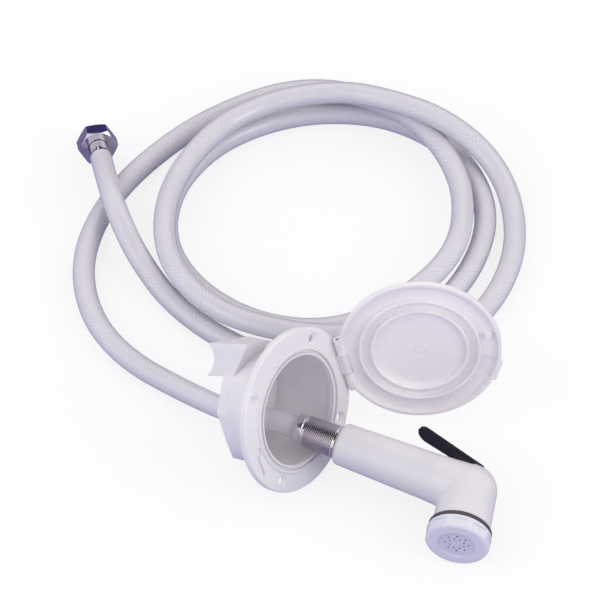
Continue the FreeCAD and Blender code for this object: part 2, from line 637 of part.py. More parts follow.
def make_handset_body(node, place):
    """Handle, elbow and neck with the water ways, the valve chamber and the lever's slot."""
    body = new_body(node, place)
    lean = math.radians(size("nozzle_lean"))
    neck_way = (-math.cos(lean), 0, math.sin(lean))

    def neck(reach):
        along = size(reach)
        return frame((along * neck_way[0], 0, along * neck_way[2]), (0, 1, 0), neck_way)
    # The rounded corner under the handle comes first, from a neck that runs right through.
    turn(body, [
        ("0", "-handle_taper"),
        ("handle_large", "-handle_taper"),
        ("handle_root", "0"),
        ("0", "0"),
    ])
    primitive(body, "AdditiveCone", neck("-neck_length"),
              Radius1="2 * elbow_radius - neck_radius", Radius2="neck_radius", Height="2 * neck_length")
    widest = size("handle_root")
    narrowest = size("handle_large")

    def corner(spot):
        reach = math.hypot(spot.x, spot.y)
        return -size("handle_taper") + 1 < spot.z < -1 and narrowest < reach < widest
    soften(body, corner, "corner_round")
    reach = "4 * neck_length"
    lean_side = (math.sin(lean), 0, math.cos(lean))
    start = (neck_way[0] * size("corner_start"), 0, neck_way[2] * size("corner_start"))
    behind = frame(start, lean_side, tuple(-value for value in neck_way))
    corner_box = behind.multiply(local("-neck_length * 2", "-neck_length * 2", "0"))
    primitive(body, "SubtractiveBox", corner_box, Length=reach, Width=reach, Height=reach)
    turn(body, [
        ("0", "-handle_back"),
        ("handle_small", "-handle_back"),
        ("handle_large", "-handle_taper"),
        ("handle_root", "0"),
        ("0", "0"),
    ])
    soften(body, ring_test("handle_small", "-handle_back"), "handle_round")
    primitive(body, "AdditiveSphere", IN_PLACE, Radius="elbow_radius")
    primitive(body, "AdditiveCone", neck("0"),
              Radius1="elbow_radius", Radius2="neck_radius", Height="neck_length")
    primitive(body, "AdditiveCylinder", neck("neck_length"),
              Radius="spigot_radius", Height="spigot_length")
    primitive(body, "SubtractiveCylinder", local("0", "0", "-handle_back"),
              Radius="handle_bore", Height="handle_back - bore_end")
    primitive(body, "SubtractiveCylinder", local("0", "0", "-handle_back"),
              Radius="nipple_seat", Height="nipple_depth")
    primitive(body, "SubtractiveCylinder", local("-valve_floor", "0", "-valve_x", UP, SIDE),
              Radius="valve_radius", Height="valve_floor + slot_floor")
    primitive(body, "SubtractiveCylinder", local("-inlet_way_drop", "0", "-bore_end - inlet_way"),
              Radius="inlet_way", Height="bore_end + inlet_way - valve_x")
    primitive(body, "SubtractiveCylinder", local("outlet_way_height", "0", "-valve_x"),
              Radius="outlet_way", Height="valve_x + outlet_way")
    primitive(body, "SubtractiveCylinder", neck("-neck_bore"),
              Radius="neck_bore", Height="neck_length + spigot_length + neck_bore")
    primitive(body, "SubtractiveCylinder", neck("neck_length + spigot_length - spigot_bore_depth"),
              Radius="spigot_bore", Height="spigot_bore_depth")
    slot_width = "(lever_root + 2 * fit_gap)"
    primitive(body, "SubtractiveBox", local("slot_floor", "-%s / 2" % slot_width, "-slot_back"),
              Length="elbow_radius", Width=slot_width, Height="slot_back + slot_front")
    primitive(body, "SubtractiveCylinder",
              local("lever_z", "-lever_pin_length / 2", "-lever_x", SIDE, (0, 1, 0)),
              Radius="lever_pin_radius + pin_clearance", Height="lever_pin_length")
    return body


def make_lever(node, place):
    """Thumb lever: a flat plate on a narrow root block with a cross hole."""
    lever = new_body(node, place)
    plate = outline(lever, "XY_Plane", [
        ("-lever_length", "-lever_width / 2"),
        ("lever_nose", "-lever_root / 2"),
        ("lever_nose", "lever_root / 2"),
        ("-lever_length", "lever_width / 2"),
    ])
    pad_from(lever, plate, "lever_top - lever_thick", "lever_thick")

    def tip_edge(spot):
        return spot.x < -size("lever_length") + 0.05 and abs(abs(spot.y) - size("lever_width / 2")) < 0.05
    soften(lever, tip_edge, "lever_width * 0.46")

    def top_edge(spot):
        return spot.z > size("lever_top") - 0.01
    soften(lever, top_edge, "lever_thick / 3")
    both_ways(lever, outline(lever, "XZ_Plane", [
        ("0", "-press_low"),
        ("lever_nose", "0"),
        ("lever_nose", "lever_top - lever_thick / 2"),
        ("-lever_block", "lever_top - lever_thick / 2"),
        ("-lever_block", "-press_high"),
    ]), "lever_root")
    both_ways(lever, circle(lever, "XZ_Plane", "lever_boss"), "lever_root")
    both_ways(lever, circle(lever, "XZ_Plane", "lever_pin_radius + pin_clearance"),
              "2 * lever_root", "PartDesign::Pocket")
    return lever


def make_lever_pin(node, place):
    """Cross pin that the lever turns on."""
    pin = new_body(node, place)
    both_ways(pin, circle(pin, "XZ_Plane", "lever_pin_radius"), "lever_pin_length - fit_gap")
    return pin


def make_spring(node, place):
    """Valve spring, wound from round wire."""
    height = size("valve_floor - seat_low - fit_gap - disc_thick - 2 * spring_gap - spring_wire")
    pitch = height / size("spring_turns")
    helix = Part.makeHelix(pitch, height, size("spring_radius"))
    start = Vector(size("spring_radius"), 0, 0)
    tangent = Vector(0, 2 * math.pi * size("spring_radius"), pitch)
    section = Part.Wire(Part.makeCircle(size("spring_wire / 2"), start, tangent))
    spring = DOC.addObject("Part::Feature", node)
    spring.Label = node
    spring.Shape = Part.Wire(helix).makePipeShell([section], True, True)
    spring.Placement = inside(place, "0", "0", "-valve_floor + spring_gap + spring_wire / 2")
    return spring


def make_seal(node, place):
    """O-ring between the stem and the bonnet."""
    seal = DOC.addObject("Part::Torus", node)
    seal.Label = node
    bind(seal, Radius1="stem_radius + pin_clearance + seal_wire / 2", Radius2="seal_wire / 2")
    seal.Placement = inside(place, "0", "0", "bonnet_low + seal_wire / 2 + spring_gap")
    return seal


def make_cap(node, place):
    """Nozzle cap with finger flats around it."""
    cap = new_body(node, place)
    start = "neck_length + collar_thick + fit_gap"
    turn(cap, [
        ("spigot_radius + fit_gap", start),
        ("cap_radius", start),
        ("cap_radius", "cap_front"),
        ("cap_mouth", "cap_front"),
        ("cap_mouth", "cap_front - cap_lip"),
        ("spigot_radius + fit_gap", "cap_front - cap_lip"),
    ])
    soften(cap, ring_test("cap_radius", "cap_front"), "cap_round")
    grip = primitive(cap, "SubtractiveBox",
                     local("cap_radius - grip_depth", "-cap_radius / 2", start + " + grip_start"),
                     Length="cap_radius", Width="cap_radius", Height="cap_front")
    repeat_round(cap, [grip], "grip_count")
    return cap


def make_spray_plate(node, place):
    """Round plate with two rings of spray holes."""
    plate = new_body(node, place)
    top = "(cap_front - cap_lip)"
    turn(plate, [
        ("0", top + " - plate_thick"),
        ("spigot_radius", top + " - plate_thick"),
        ("spigot_radius", top),
        ("0", top),
    ])
    half_step = math.pi / size("jet_count")
    for reach, angle in (("outer_jets", 0), ("inner_jets", half_step)):
        x = size(reach) * math.cos(angle)
        y = size(reach) * math.sin(angle)
        start = size(top + " - 2 * plate_thick")
        jet = primitive(plate, "SubtractiveCylinder", frame((x, y, start), SIDE, UP),
                        Radius="jet_radius", Height="3 * plate_thick")
        repeat_round(plate, [jet], "jet_count")
    return plate


def make_hex_nut(node, place):
    """Hexagon nut with a hole for the sleeve, a relief for the flange and a threaded bore."""
    relief_length = "(end_flange_thick + nut_washer + 2 * fit_gap)"
    nut = new_body(node, place)
    corner = "nut_flats / 2 / cos(30deg)"
    hexagon = outline(nut, "XY_Plane", [
        ("%s * cos(%ddeg)" % (corner, angle), "%s * sin(%ddeg)" % (corner, angle))
        for angle in range(0, 360, 60)
    ])
    pad_from(nut, hexagon, "nut_start", "nut_length")
    for edge, inwards in (("nut_start", "+"), ("nut_start + nut_length", "-")):
        turn(nut, [
            ("nut_flats / 2 - spigot_fit", edge),
            ("nut_flats", edge),
            ("nut_flats", "%s %s (nut_flats / 2 + spigot_fit) * tan(nut_bevel * 1deg)" % (edge, inwards)),
        ], "PartDesign::Groove")
    primitive(nut, "SubtractiveCylinder", local("0", "0", "0"),
              Radius="end_collar + fit_gap", Height="nut_start + nut_length")
    primitive(nut, "SubtractiveCylinder", local("0", "0", "nut_start + nut_wall"),
              Radius="nut_relief", Height=relief_length)
    primitive(nut, "SubtractiveCylinder", local("0", "0", "nut_start + nut_wall + " + relief_length),
              Radius="nut_thread", Height="nut_length")
    return nut


def hose_line(route):
    """Straight runs through the route joined by tangent arcs, and the arcs' radii."""
    spots = [Vector(*spot) for spot in route]
    edges = []
    radii = []
    start = spots[0]
    for before, corner, after in zip(spots, spots[1:], spots[2:]):
        way_in = (corner - before).normalize()
        way_out = (after - corner).normalize()
        reach = 0.45 * min((corner - before).Length, (after - corner).Length)
        radius = reach / math.tan(way_in.getAngle(way_out) / 2)
        first = corner - way_in * reach
        last = corner + way_out * reach
        bulge = (way_out - way_in).normalize() * (math.hypot(radius, reach) - radius)
        edges.append(Part.LineSegment(start, first).toShape())
        edges.append(Part.Arc(first, corner + bulge, last).toShape())
        radii.append(radius)
        start = last
    edges.append(Part.LineSegment(start, spots[-1]).toShape())
    return Part.Wire(edges), radii


def least_gap(line, radius):
    """The smallest gap between turns of the hose."""
    step = 3.0
    spots = line.discretize(Distance=step)
    apart = int(8 * radius / step)
    return min(
        spot.distanceToPoint(other)
        for index, spot in enumerate(spots) for other in spots[index + apart:]
    ) - 2 * radius


def make_hose(node):
    """Hose with a round bore along its route."""
    line, radii = hose_line(HOSE_ROUTE)
    outer = size("hose_radius")
    inner = size("hose_bore")
    start = Vector(*HOSE_ROUTE[0])
    way = Vector(*HOSE_ROUTE[1]) - start

    def pipe(radius):
        ring = Part.Wire(Part.makeCircle(radius, start, way))
        return line.makePipe(Part.Face(ring))
    hose = DOC.addObject("Part::Feature", node)
    hose.Label = node
    hose.Shape = pipe(outer).cut(pipe(inner))
    hose.Placement = IN_PLACE
    expected = math.pi * (outer ** 2 - inner ** 2) * line.Length
    print("hose bend radii", " ".join("%.0f" % radius for radius in radii))
    print("hose length %.1f, volume %.1f, section times length %.1f" %
          (line.Length, hose.Shape.Volume, expected))
    print("hose's least gap to itself %.2f" % least_gap(line, outer))
    return hose


def housing_place():
    """The housing lies on its flange's rim and on the rear edge of its cup."""
    rim_drop = size("flange_radius - cup_radius")
    lean = math.atan2(rim_drop, size("cup_depth - rear_bevel - flange_depth"))
    yaw = math.radians(size("housing_yaw"))
    mouth_way = (math.cos(lean) * math.cos(yaw), math.cos(lean) * math.sin(yaw), math.sin(lean))
    hinge_side = (-math.sin(yaw), math.cos(yaw), 0)
    height = size("flange_radius") * math.cos(lean) + size("flange_depth") * math.sin(lean)
    return frame((size("housing_x"), size("housing_y"), height), hinge_side, mouth_way)


def hinge_place(housing):
    """Frame on the hinge axis: X across the open lid, Z to its inner side."""
    angle = math.radians(size("lid_open"))
    across = (-math.cos(angle), 0, math.sin(angle))
    inner = (-math.sin(angle), 0, -math.cos(angle))
    return inside(housing, "hinge_reach", "0", "hinge_height", across, inner)


def handle_place():
    """Frame of the handset: Z along the handle to the head, X to the lever's side."""
    spin = Rotation(size("handset_yaw"), size("handset_pitch"), size("handset_roll"))
    along = spin.multVec(Vector(1, 0, 0))
    lever_side = spin.multVec(Vector(0, 0, 1))
    lean = math.radians(size("nozzle_lean"))
    fall = math.cos(lean) * lever_side.z - math.sin(lean) * along.z
    height = size("cap_front - cap_round") * fall + size("cap_round")
    height += size("cap_radius - cap_round") * math.sqrt(1 - fall ** 2)
    return frame((size("elbow_x"), size("elbow_y"), height), lever_side, along)


def nozzle_place(handle):
    """Frame of the nozzle: Z along the water's way out."""
    lean = math.radians(size("nozzle_lean"))
    return handle.multiply(frame((0, 0, 0), (0, 1, 0), (-math.cos(lean), 0, math.sin(lean))))


def lever_place(handle):
    """Frame on the lever's pin: X along the lever to the head, Z to its back."""
    angle = math.radians(size("lever_angle"))
    along = (-math.sin(angle), 0, math.cos(angle))
    back = (math.cos(angle), 0, math.sin(angle))
    return inside(handle, "lever_z", "0", "-lever_x", along, back)


def end_place():
    """Frame at the hose's far end: Z out of the hose, X level."""
    last = Vector(*HOSE_ROUTE[-1])
    way = last - Vector(*HOSE_ROUTE[-2])
    return frame(tuple(last), (way.y, -way.x, 0), tuple(way))


def show_frame(name, place):
    """Prints a frame's origin and directions."""
    ways = [place.Rotation.multVec(Vector(*way)) for way in ((1, 0, 0), (0, 1, 0), (0, 0, 1))]
    print(name, [round(value, 3) for value in place.Base], [[round(v, 4) for v in way] for way in ways])


def make_all():
    """Every sub-part by its node name."""
    housing = housing_place()
    hinge = hinge_place(housing)
    handle = handle_place()
    nozzle = nozzle_place(handle)
    valve = inside(handle, "0", "0", "-valve_x", UP, SIDE)
    for name, place in (("housing", housing), ("hinge", hinge), ("handle", handle), ("nozzle", nozzle),
                        ("valve", valve), ("lever", lever_place(handle)), ("hose end", end_place())):
        show_frame(name, place)
    parts = [
        make_housing("housing", housing),
        make_lid("lid", inside(hinge, "hinge_reach", "0", "0")),
        make_hinge_pin("hinge_pin", hinge),
        make_handset_body("handset_body", handle),
        make_turned("inlet_nipple", handle, [
            ("handle_bore", "-handle_back - nipple_length"),
            ("nipple_radius", "-handle_back - nipple_length"),
            ("nipple_radius", "-handle_back"),
            ("nipple_seat", "-handle_back"),
            ("nipple_seat", "-handle_back + nipple_depth"),
            ("handle_bore", "-handle_back + nipple_depth"),
        ]),
        make_lever("lever", lever_place(handle)),
        make_lever_pin("lever_pin", lever_place(handle)),
        make_turned("valve_bonnet", valve, [
            ("stem_radius + pin_clearance", "bonnet_low + seal_wire + 2 * spring_gap"),
            ("stem_radius + 2 * pin_clearance + seal_wire", "bonnet_low + seal_wire + 2 * spring_gap"),
            ("stem_radius + 2 * pin_clearance + seal_wire", "bonnet_low"),
            ("valve_radius", "bonnet_low"),
            ("valve_radius", "slot_floor"),
            ("stem_radius + pin_clearance", "slot_floor"),
        ]),
        make_turned("valve_seat", valve, [
            ("seat_bore", "-seat_low"),
            ("valve_radius", "-seat_low"),
            ("valve_radius", "-seat_low + seat_thick"),
            ("seat_bore", "-seat_low + seat_thick"),
        ]),
        make_turned("valve_stem", valve, [
            ("0", "-seat_low - fit_gap"),
            ("stem_radius", "-seat_low - fit_gap"),
            ("stem_radius", "stem_top - stem_radius / 2"),
            ("stem_radius / 2", "stem_top"),
            ("0", "stem_top"),
        ]),
        make_turned("valve_disc", valve, [
            ("0", "-seat_low - fit_gap - disc_thick"),
            ("disc_radius", "-seat_low - fit_gap - disc_thick"),
            ("disc_radius", "-seat_low - fit_gap"),
            ("0", "-seat_low - fit_gap"),
        ]),
        make_spring("valve_spring", valve),
        make_seal("stem_seal", valve),
        make_turned("collar_ring", nozzle, [
            ("spigot_radius", "neck_length"),
            ("collar_radius", "neck_length"),
            ("collar_radius", "neck_length + collar_thick"),
            ("spigot_radius", "neck_length + collar_thick"),
        ]),
        make_cap("nozzle_cap", nozzle),
        make_spray_plate("spray_plate", nozzle),
        make_turned("nozzle_gasket", nozzle, [
            ("gasket_bore", "cap_front - cap_lip - plate_thick - gasket_thick"),
            ("spigot_radius", "cap_front - cap_lip - plate_thick - gasket_thick"),
            ("spigot_radius", "cap_front - cap_lip - plate_thick"),
            ("gasket_bore", "cap_front - cap_lip - plate_thick"),
        ]),
    ]
    washer_back = "(-handle_back - nipple_length - washer_thick)"
    tail_back = "(-handle_back - nipple_length - washer_thick - tail_flange_thick)"
    parts.append(make_turned("inlet_washer", handle, [
        ("washer_bore", washer_back),
        ("tail_flange", washer_back),
        ("tail_flange", washer_back + " + washer_thick"),
        ("washer_bore", washer_back + " + washer_thick"),
    ]))
    parts.append(make_turned("hose_tail", handle, [
        ("tail_bore", tail_back + " - tail_length"),
        ("hose_bore - spigot_fit", tail_back + " - tail_length"),
        ("hose_bore - spigot_fit", tail_back),
        ("tail_flange", tail_back),
        ("tail_flange", washer_back),
        ("tail_bore", washer_back),
    ]))
    front = "-handle_back - fit_gap"
    back = "-handle_back - fit_gap - ferrule_length"
    parts.append(make_turned("ferrule_nut", handle, [
        ("hose_radius + fit_gap", back),
        ("ferrule_small - ferrule_bevel", back),
        ("ferrule_small", back + " + ferrule_bevel"),
        ("ferrule_large", front + " - ferrule_bevel"),
        ("ferrule_large - ferrule_bevel", front),
        ("nipple_radius + spigot_fit", front),
        ("nipple_radius + spigot_fit", tail_back + " - fit_gap"),
        ("hose_radius + fit_gap", tail_back + " - fit_gap"),
    ]))
    return parts + hose_parts()


def hose_parts():
    """The hose and the pieces at its far end, placed by the hose's last run."""
    end = end_place()
    flange_start = "(nut_start + nut_wall + fit_gap)"
    flange_end = flange_start + " + end_flange_thick"
    return [
        make_hose("hose"),
        make_turned("end_collar", end, [
            ("hose_bore", "0"),
            ("end_bead", "0"),
            ("end_bead", "end_bead_length"),
            ("end_collar", "end_bead_length + end_bead - end_collar"),
            ("end_collar", flange_start),
            ("hose_bore", flange_start),
        ]),
        make_turned("end_tail", end, [
            ("tail_bore", "-end_tail_length"),
            ("hose_bore - spigot_fit", "-end_tail_length"),
            ("hose_bore - spigot_fit", flange_start),
            ("end_flange", flange_start),
            ("end_flange", flange_end),
            ("tail_bore", flange_end),
        ]),
        make_hex_nut("hex_nut", end),
        make_turned("nut_washer", end, [
            ("hose_bore", flange_end),
            ("nut_thread - fit_gap", flange_end),
            ("nut_thread - fit_gap", flange_end + " + nut_washer"),
            ("hose_bore", flange_end + " + nut_washer"),
        ]),
    ]


def write_out(parts):
    """Checks every sub-part and writes one file for each."""
    DOC.recompute()
    for piece in DOC.Objects:
        if "Invalid" in piece.State or "Error" in piece.State:
            raise ValueError("not built: " + piece.Label)
    for part in parts:
        shape = part.Shape
        if shape.isNull() or not shape.isValid() or len(shape.Solids) != 1:
            raise ValueError("not one sound solid: " + part.Label)
        print("%-14s volume %9.1f" % (part.Label, shape.Volume))
    for part in parts:
        part.Shape.exportStep("parts/%s.step" % part.Label)


os.makedirs("parts", exist_ok=True)
fill_sheet()
PARTS = make_all()
write_out(PARTS)
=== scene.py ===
"""Shower box for outside use: looks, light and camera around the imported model, in metres."""
import json
import math

import bpy
from mathutils import Matrix, Vector


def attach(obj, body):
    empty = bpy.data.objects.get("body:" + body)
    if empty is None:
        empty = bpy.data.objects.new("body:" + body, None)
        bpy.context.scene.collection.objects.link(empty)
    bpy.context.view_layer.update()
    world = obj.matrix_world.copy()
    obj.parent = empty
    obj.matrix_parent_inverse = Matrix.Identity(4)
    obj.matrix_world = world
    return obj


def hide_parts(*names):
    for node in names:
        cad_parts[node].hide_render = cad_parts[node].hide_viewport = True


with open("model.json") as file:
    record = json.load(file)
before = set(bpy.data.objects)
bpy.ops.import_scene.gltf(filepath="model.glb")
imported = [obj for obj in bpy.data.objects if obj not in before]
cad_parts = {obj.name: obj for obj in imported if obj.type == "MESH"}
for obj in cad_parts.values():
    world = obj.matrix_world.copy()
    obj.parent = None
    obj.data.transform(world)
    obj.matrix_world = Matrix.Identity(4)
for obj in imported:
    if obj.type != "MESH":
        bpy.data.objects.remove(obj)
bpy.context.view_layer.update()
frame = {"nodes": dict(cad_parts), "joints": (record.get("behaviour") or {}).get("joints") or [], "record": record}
NODES = frame["nodes"]
MM = 0.001


def named(rows, name):
    """The row of a list that has this name."""
    return next(row for row in rows if row["name"] == name)


def reach_along(node, base, way):
    """Where a node's mesh begins and ends along a direction from a base point."""
    rises = [way.dot(vertex.co - base) for vertex in NODES[node].data.vertices]
    return min(rises), max(rises)


# Camera: far away with a long lens, 43 degrees off straight down
LOOK_AT = Vector((-0.03602, 0.16408, 0.0))
CAMERA_TILT = math.radians(43.0)
CAMERA_DISTANCE = 4.5
CAMERA_LENS = 402.0
CAMERA_SENSOR = 36.0
CAMERA_REACH = 20.0

# Hose and the braid in its wall
HOSE_RADIUS = 0.0075
HOSE_STEP = 0.0015
HOSE_SIDES = 24
BRAID_PITCH = 0.00135
CURVE_STEPS = 24

# Knurled nut, measured along the handle from the elbow, where the swivel's point lies
SWIVEL = named(frame["joints"], "handset_swivel")
SWIVEL_POINT = Vector(SWIVEL["pos_m"])
SWIVEL_WAY = Vector(SWIVEL["axis"]).normalized()
FERRULE_BACK, FERRULE_FRONT = reach_along("ferrule_nut", SWIVEL_POINT, SWIVEL_WAY)
FERRULE_BORE = 0.0079
FERRULE_SMALL = 0.0099
FERRULE_LARGE = 0.0110
FERRULE_BEVEL = 0.0009
FERRULE_ROWS = 180
GROOVE_AT = FERRULE_BACK + 0.0056
GROOVE_HALF = 0.0004
GROOVE_DEPTH = 0.00035
KNURL_START = FERRULE_BACK + 0.0068
KNURL_END = FERRULE_FRONT - 0.0016
KNURL_FADE = 0.0006
KNURL_TEETH = 40
KNURL_PITCH = 0.0016
KNURL_DEPTH = 0.00020
SIDES_PER_TOOTH = 8

# Thread's ridges inside the hexagon nut, a little clear of its wall and its ends
THREAD_PITCH = 0.00181
THREAD_DEPTH = 0.0007
THREAD_FADE = 0.0004
THREAD_WALL_GAP = 0.00002
THREAD_END_GAP = 0.0002
THREAD_ROWS = 60
THREAD_SIDES = 64

# Depths behind the spray face between which painted shade darkens its holes
HOLE_SHALLOW = 0.00008
HOLE_DEEP = 0.00016

# Glow of the studio: directions and colours
GLOW = [
    ((0, 0, 1), (0.44, 0.40, 0.38)),
    ((0, -1, 0), (0.26, 0.27, 0.36)),
    ((0, 1, 0), (0.35, 0.32, 0.32)),
    ((-1, 0, 0), (1.04, 1.08, 1.16)),
    ((1, 0, 0), (0.98, 1.02, 0.98)),
]
WHITE = (1, 1, 1, 1)

# Floor: what it throws back, what gloss mirrors in it, and the share of its own light where it is seen
FLOOR_COLOUR = (0.50, 0.49, 0.66, 1)
FLOOR_GLOSS = (0.22, 0.20, 0.38, 1)
FLOOR_GLOW = 0.80
FLOOR_HALF = 3.0
FLOOR_DROP = 0.0002

# Distance of the upright cards and the middle of their round, and what the lamps point at
CARD_REACH = 2.0
STRIPE_REACH = 1.9
CARD_CENTRE_Y = 0.2
LAMP_TARGET = Vector((0.0, 0.1, 0.0))

# Hose route from the knurled nut to the chrome sleeve, as in the part's source
HOSE_ROUTE_MM = [
    (-23.06, 14.29, 30.79), (-50.42, 26.47, 32.47), (-78.8, 39.76, 23.5), (-112.8, 71.9, 10.5),
    (-152.8, 103.9, 7.6), (-177.8, 144.9, 7.6), (-183.8, 198.9, 7.6), (-163.8, 256.9, 7.6),
    (-120.8, 309.9, 7.6), (-76.8, 339.9, 9.0), (-36.8, 345.9, 18.5), (2.2, 335.9, 24.5),
    (36.2, 318.9, 23.5), (62.7, 286.9, 20.5), (76.2, 243.9, 17.5), (69.7, 188.9, 20.5),
    (35.7, 148.9, 18.0), (-6.8, 129.4, 8.0), (-56.8, 131.4, 7.6), (-101.8, 160.4, 7.6),
    (-127.8, 206.9, 7.6), (-123.8, 258.9, 7.6), (-95.8, 301.9, 7.6), (-54.8, 326.9, 7.6),
    (-10.8, 334.9, 7.6), (34.2, 325.9, 7.6), (75.2, 291.9, 7.6), (93.2, 238.9, 7.6),
    (81.2, 185.9, 7.6), (49.7, 138.4, 8.0), (2.2, 112.4, 19.5), (-47.8, 111.9, 24.5),
    (-97.3, 133.9, 24.0), (-127.8, 181.9, 23.8), (-126.8, 244.9, 23.5), (-95.8, 301.9, 23.0),
    (-54.8, 327.9, 25.5), (-8.8, 327.9, 35.0), (25.2, 313.9, 40.0), (61.2, 299.4, 37.2),
    (92.7, 279.9, 21.5), (109.7, 243.9, 10.0), (108.7, 189.9, 7.6), (82.2, 134.9, 7.6),
    (32.2, 100.9, 7.6), (-22.8, 93.9, 7.6), (-73.8, 109.9, 7.6), (-119.8, 149.9, 7.6),
    (-145.7, 189.6, 15.9), (-160.2, 222.1, 26.9), (-167.0, 252.8, 24.9), (-171.5, 279.6, 17.8),
]


def facing(base, way):
    """A place at a base point with its z axis along a direction."""
    across = way.orthogonal().normalized()
    turned = Matrix((across, way.cross(across), way)).transposed().to_4x4()
    return Matrix.Translation(base) @ turned


def round_spot(place, radius, turn, along):
    """A point at a radius, a turn and a height on the z axis of a place."""
    angle = 2 * math.pi * turn
    return place @ Vector((radius * math.cos(angle), radius * math.sin(angle), along))


def ring_faces(rings, sides, closed=False, inward=False):
    """Faces between rings of points; a closed body joins the last ring to the first."""
    faces = []
    for ring in range(rings if closed else rings - 1):
        low = ring * sides
        high = (ring + 1) % rings * sides
        for left in range(sides):
            right = (left + 1) % sides
            if inward:
                faces.append((low + right, low + left, high + left, high + right))
            else:
                faces.append((low + left, low + right, high + right, high + left))
    return faces


def link(name, data):
    """A new object from its data."""
    piece = bpy.data.objects.new(name, data)
    bpy.context.scene.collection.objects.link(piece)
    return piece


def mesh_piece(name, spots, faces, smooth=True):
    """A new object from points and faces."""
    mesh = bpy.data.meshes.new(name)
    mesh.from_pydata([tuple(spot) for spot in spots], [], faces)
    mesh.update()
    for face in mesh.polygons:
        face.use_smooth = smooth
    return link(name, mesh)


def linear(red, green, blue):
    """A screen colour of 0 to 255 as linear light."""
    def one(value):
        value /= 255
        return value / 12.92 if value <= 0.04045 else ((value + 0.055) / 1.055) ** 2.4
    return (one(red), one(green), one(blue), 1.0)


class NodeTree:
    """The shader nodes of a material or of the world."""

    def __init__(self, owner):
        owner.use_nodes = True
        self.tree = owner.node_tree
        self.tree.nodes.clear()

    def feed(self, socket, value):
        """Gives a socket a value, or links another socket to it."""
        if isinstance(value, bpy.types.NodeSocket):
            self.tree.links.new(value, socket)
        else:
            socket.default_value = value

    def node(self, kind, **settings):
        """A node of this kind: settings are its properties, or else feed its sockets."""
        made = self.tree.nodes.new("ShaderNode" + kind)
        for key, value in settings.items():
            if hasattr(made, key):
                setattr(made, key, value)
            else:
                self.feed(made.inputs[key.replace("_", " ")], value)
        return made

    def step(self, kind, *values, **settings):
        """The first output of a new node whose first sockets are fed in order."""
        made = self.node(kind, **settings)
        for socket, value in zip(made.inputs, values):
            self.feed(socket, value)
        return made.outputs[0]

    def dot(self, first, second):
        """The dot product of two vectors."""
        made = self.node("VectorMath", operation="DOT_PRODUCT", Vector=first)
        self.feed(made.inputs[1], second)
        return made.outputs["Value"]

    def seen_rays(self, first, *others):
        """1 for rays of these kinds, else 0."""
        rays = self.node("LightPath").outputs
        total = rays[first]
        for kind in others:
            total = self.step("Math", total, rays[kind], operation="ADD", use_clamp=True)
        return total


class Shader(NodeTree):
    """One material around a principled surface."""

    def __init__(self, name):
        self.material = bpy.data.materials.new(name)
        super().__init__(self.material)
        self.surface = self.node("BsdfPrincipled")
        self.node("OutputMaterial", Surface=self.surface.outputs[0])

    def set(self, **values):
        """Feeds the sockets of the surface."""
        for key, value in values.items():
            self.feed(self.surface.inputs[key.replace("_", " ")], value)

    def noise(self, scale, detail):
        """Noise over the object, in units of one metre."""
        where = self.node("TexCoord").outputs["Object"]
        return self.node("TexNoise", Scale=scale, Detail=detail, Vector=where).outputs["Fac"]

    def ramp(self, value, *stops):
        """Screen colours along a value, from two stops."""
        made = self.node("ValToRGB", Fac=value)
        for element, (position, colour) in zip(made.color_ramp.elements, stops):
            element.position = position
            element.color = linear(*colour)
        return made.outputs[0]

    def span(self, value, low, high, start=0.3, end=0.7):
        """Maps a value from one range to another; noise lies mostly within 0.3 to 0.7."""
        return self.node("MapRange", clamp=True, Value=value, From_Min=start, From_Max=end,
                         To_Min=low, To_Max=high).outputs[0]

    def bump(self, height, distance, **settings):
        """A normal from a height."""
        return self.node("Bump", Height=height, Distance=distance, **settings).outputs[0]

    def soft_edges(self, radius):
        """A normal rounded over the edges."""
        return self.node("Bevel", samples=6, Radius=radius).outputs[0]


def plastic(name, colour, shade, rough, edge, grain=0.00002, grain_scale=900.0, coat=0.0, gloss=0.5):
    """Moulded plastic: soft edges, fine grain, slightly uneven colour and gloss."""
    made = Shader(name)
    clouds = made.noise(scale=28.0, detail=5.0)
    wear = made.noise(scale=90.0, detail=6.0)
    skin = made.noise(scale=grain_scale, detail=3.0)
    made.set(Base_Color=made.ramp(clouds, (0.35, shade), (0.65, colour)),
             Roughness=made.span(wear, rough - 0.05, rough + 0.05),
             Normal=made.bump(skin, grain, Normal=made.soft_edges(edge)),
             IOR=1.49, Specular_IOR_Level=gloss, Coat_Weight=coat, Coat_Roughness=0.08)
    return made


def metal(name, colour, shade, rough, edge):
    """Plated or drawn metal with faint streaks in its gloss, its edges softened by a radius."""
    made = Shader(name)
    clouds = made.noise(scale=60.0, detail=6.0)
    streaks = made.noise(scale=360.0, detail=8.0)
    waves = made.noise(scale=40.0, detail=2.0)
    made.set(Base_Color=made.ramp(clouds, (0.3, shade), (0.7, colour)),
             Roughness=made.span(streaks, rough * 0.7, rough * 1.5),
             Normal=made.bump(waves, 0.00001, Normal=made.soft_edges(edge)),
             Metallic=1.0)
    return made


def knurled_chrome_painted_shade():
    """Bright chrome with painted shade at the bottom of the knurl."""
    made = Shader("knurled_chrome_painted_shade")
    cut = made.node("Attribute", attribute_name="cut").outputs["Fac"]
    # Painted shade: the chrome turns dark where the knurl is cut deepest.
    made.set(Base_Color=made.ramp(cut, (0.25, (226, 221, 226)), (0.9, (138, 128, 140))),
             Roughness=made.span(made.noise(scale=300.0, detail=6.0), 0.07, 0.16),
             Metallic=1.0)
    return made


def rubber(name, colour, shade):
    """Dull rubber with a fine skin."""
    made = plastic(name, colour, shade, rough=0.6, edge=0.0002, grain=0.00004, grain_scale=1600.0)
    made.set(IOR=1.45)
    return made


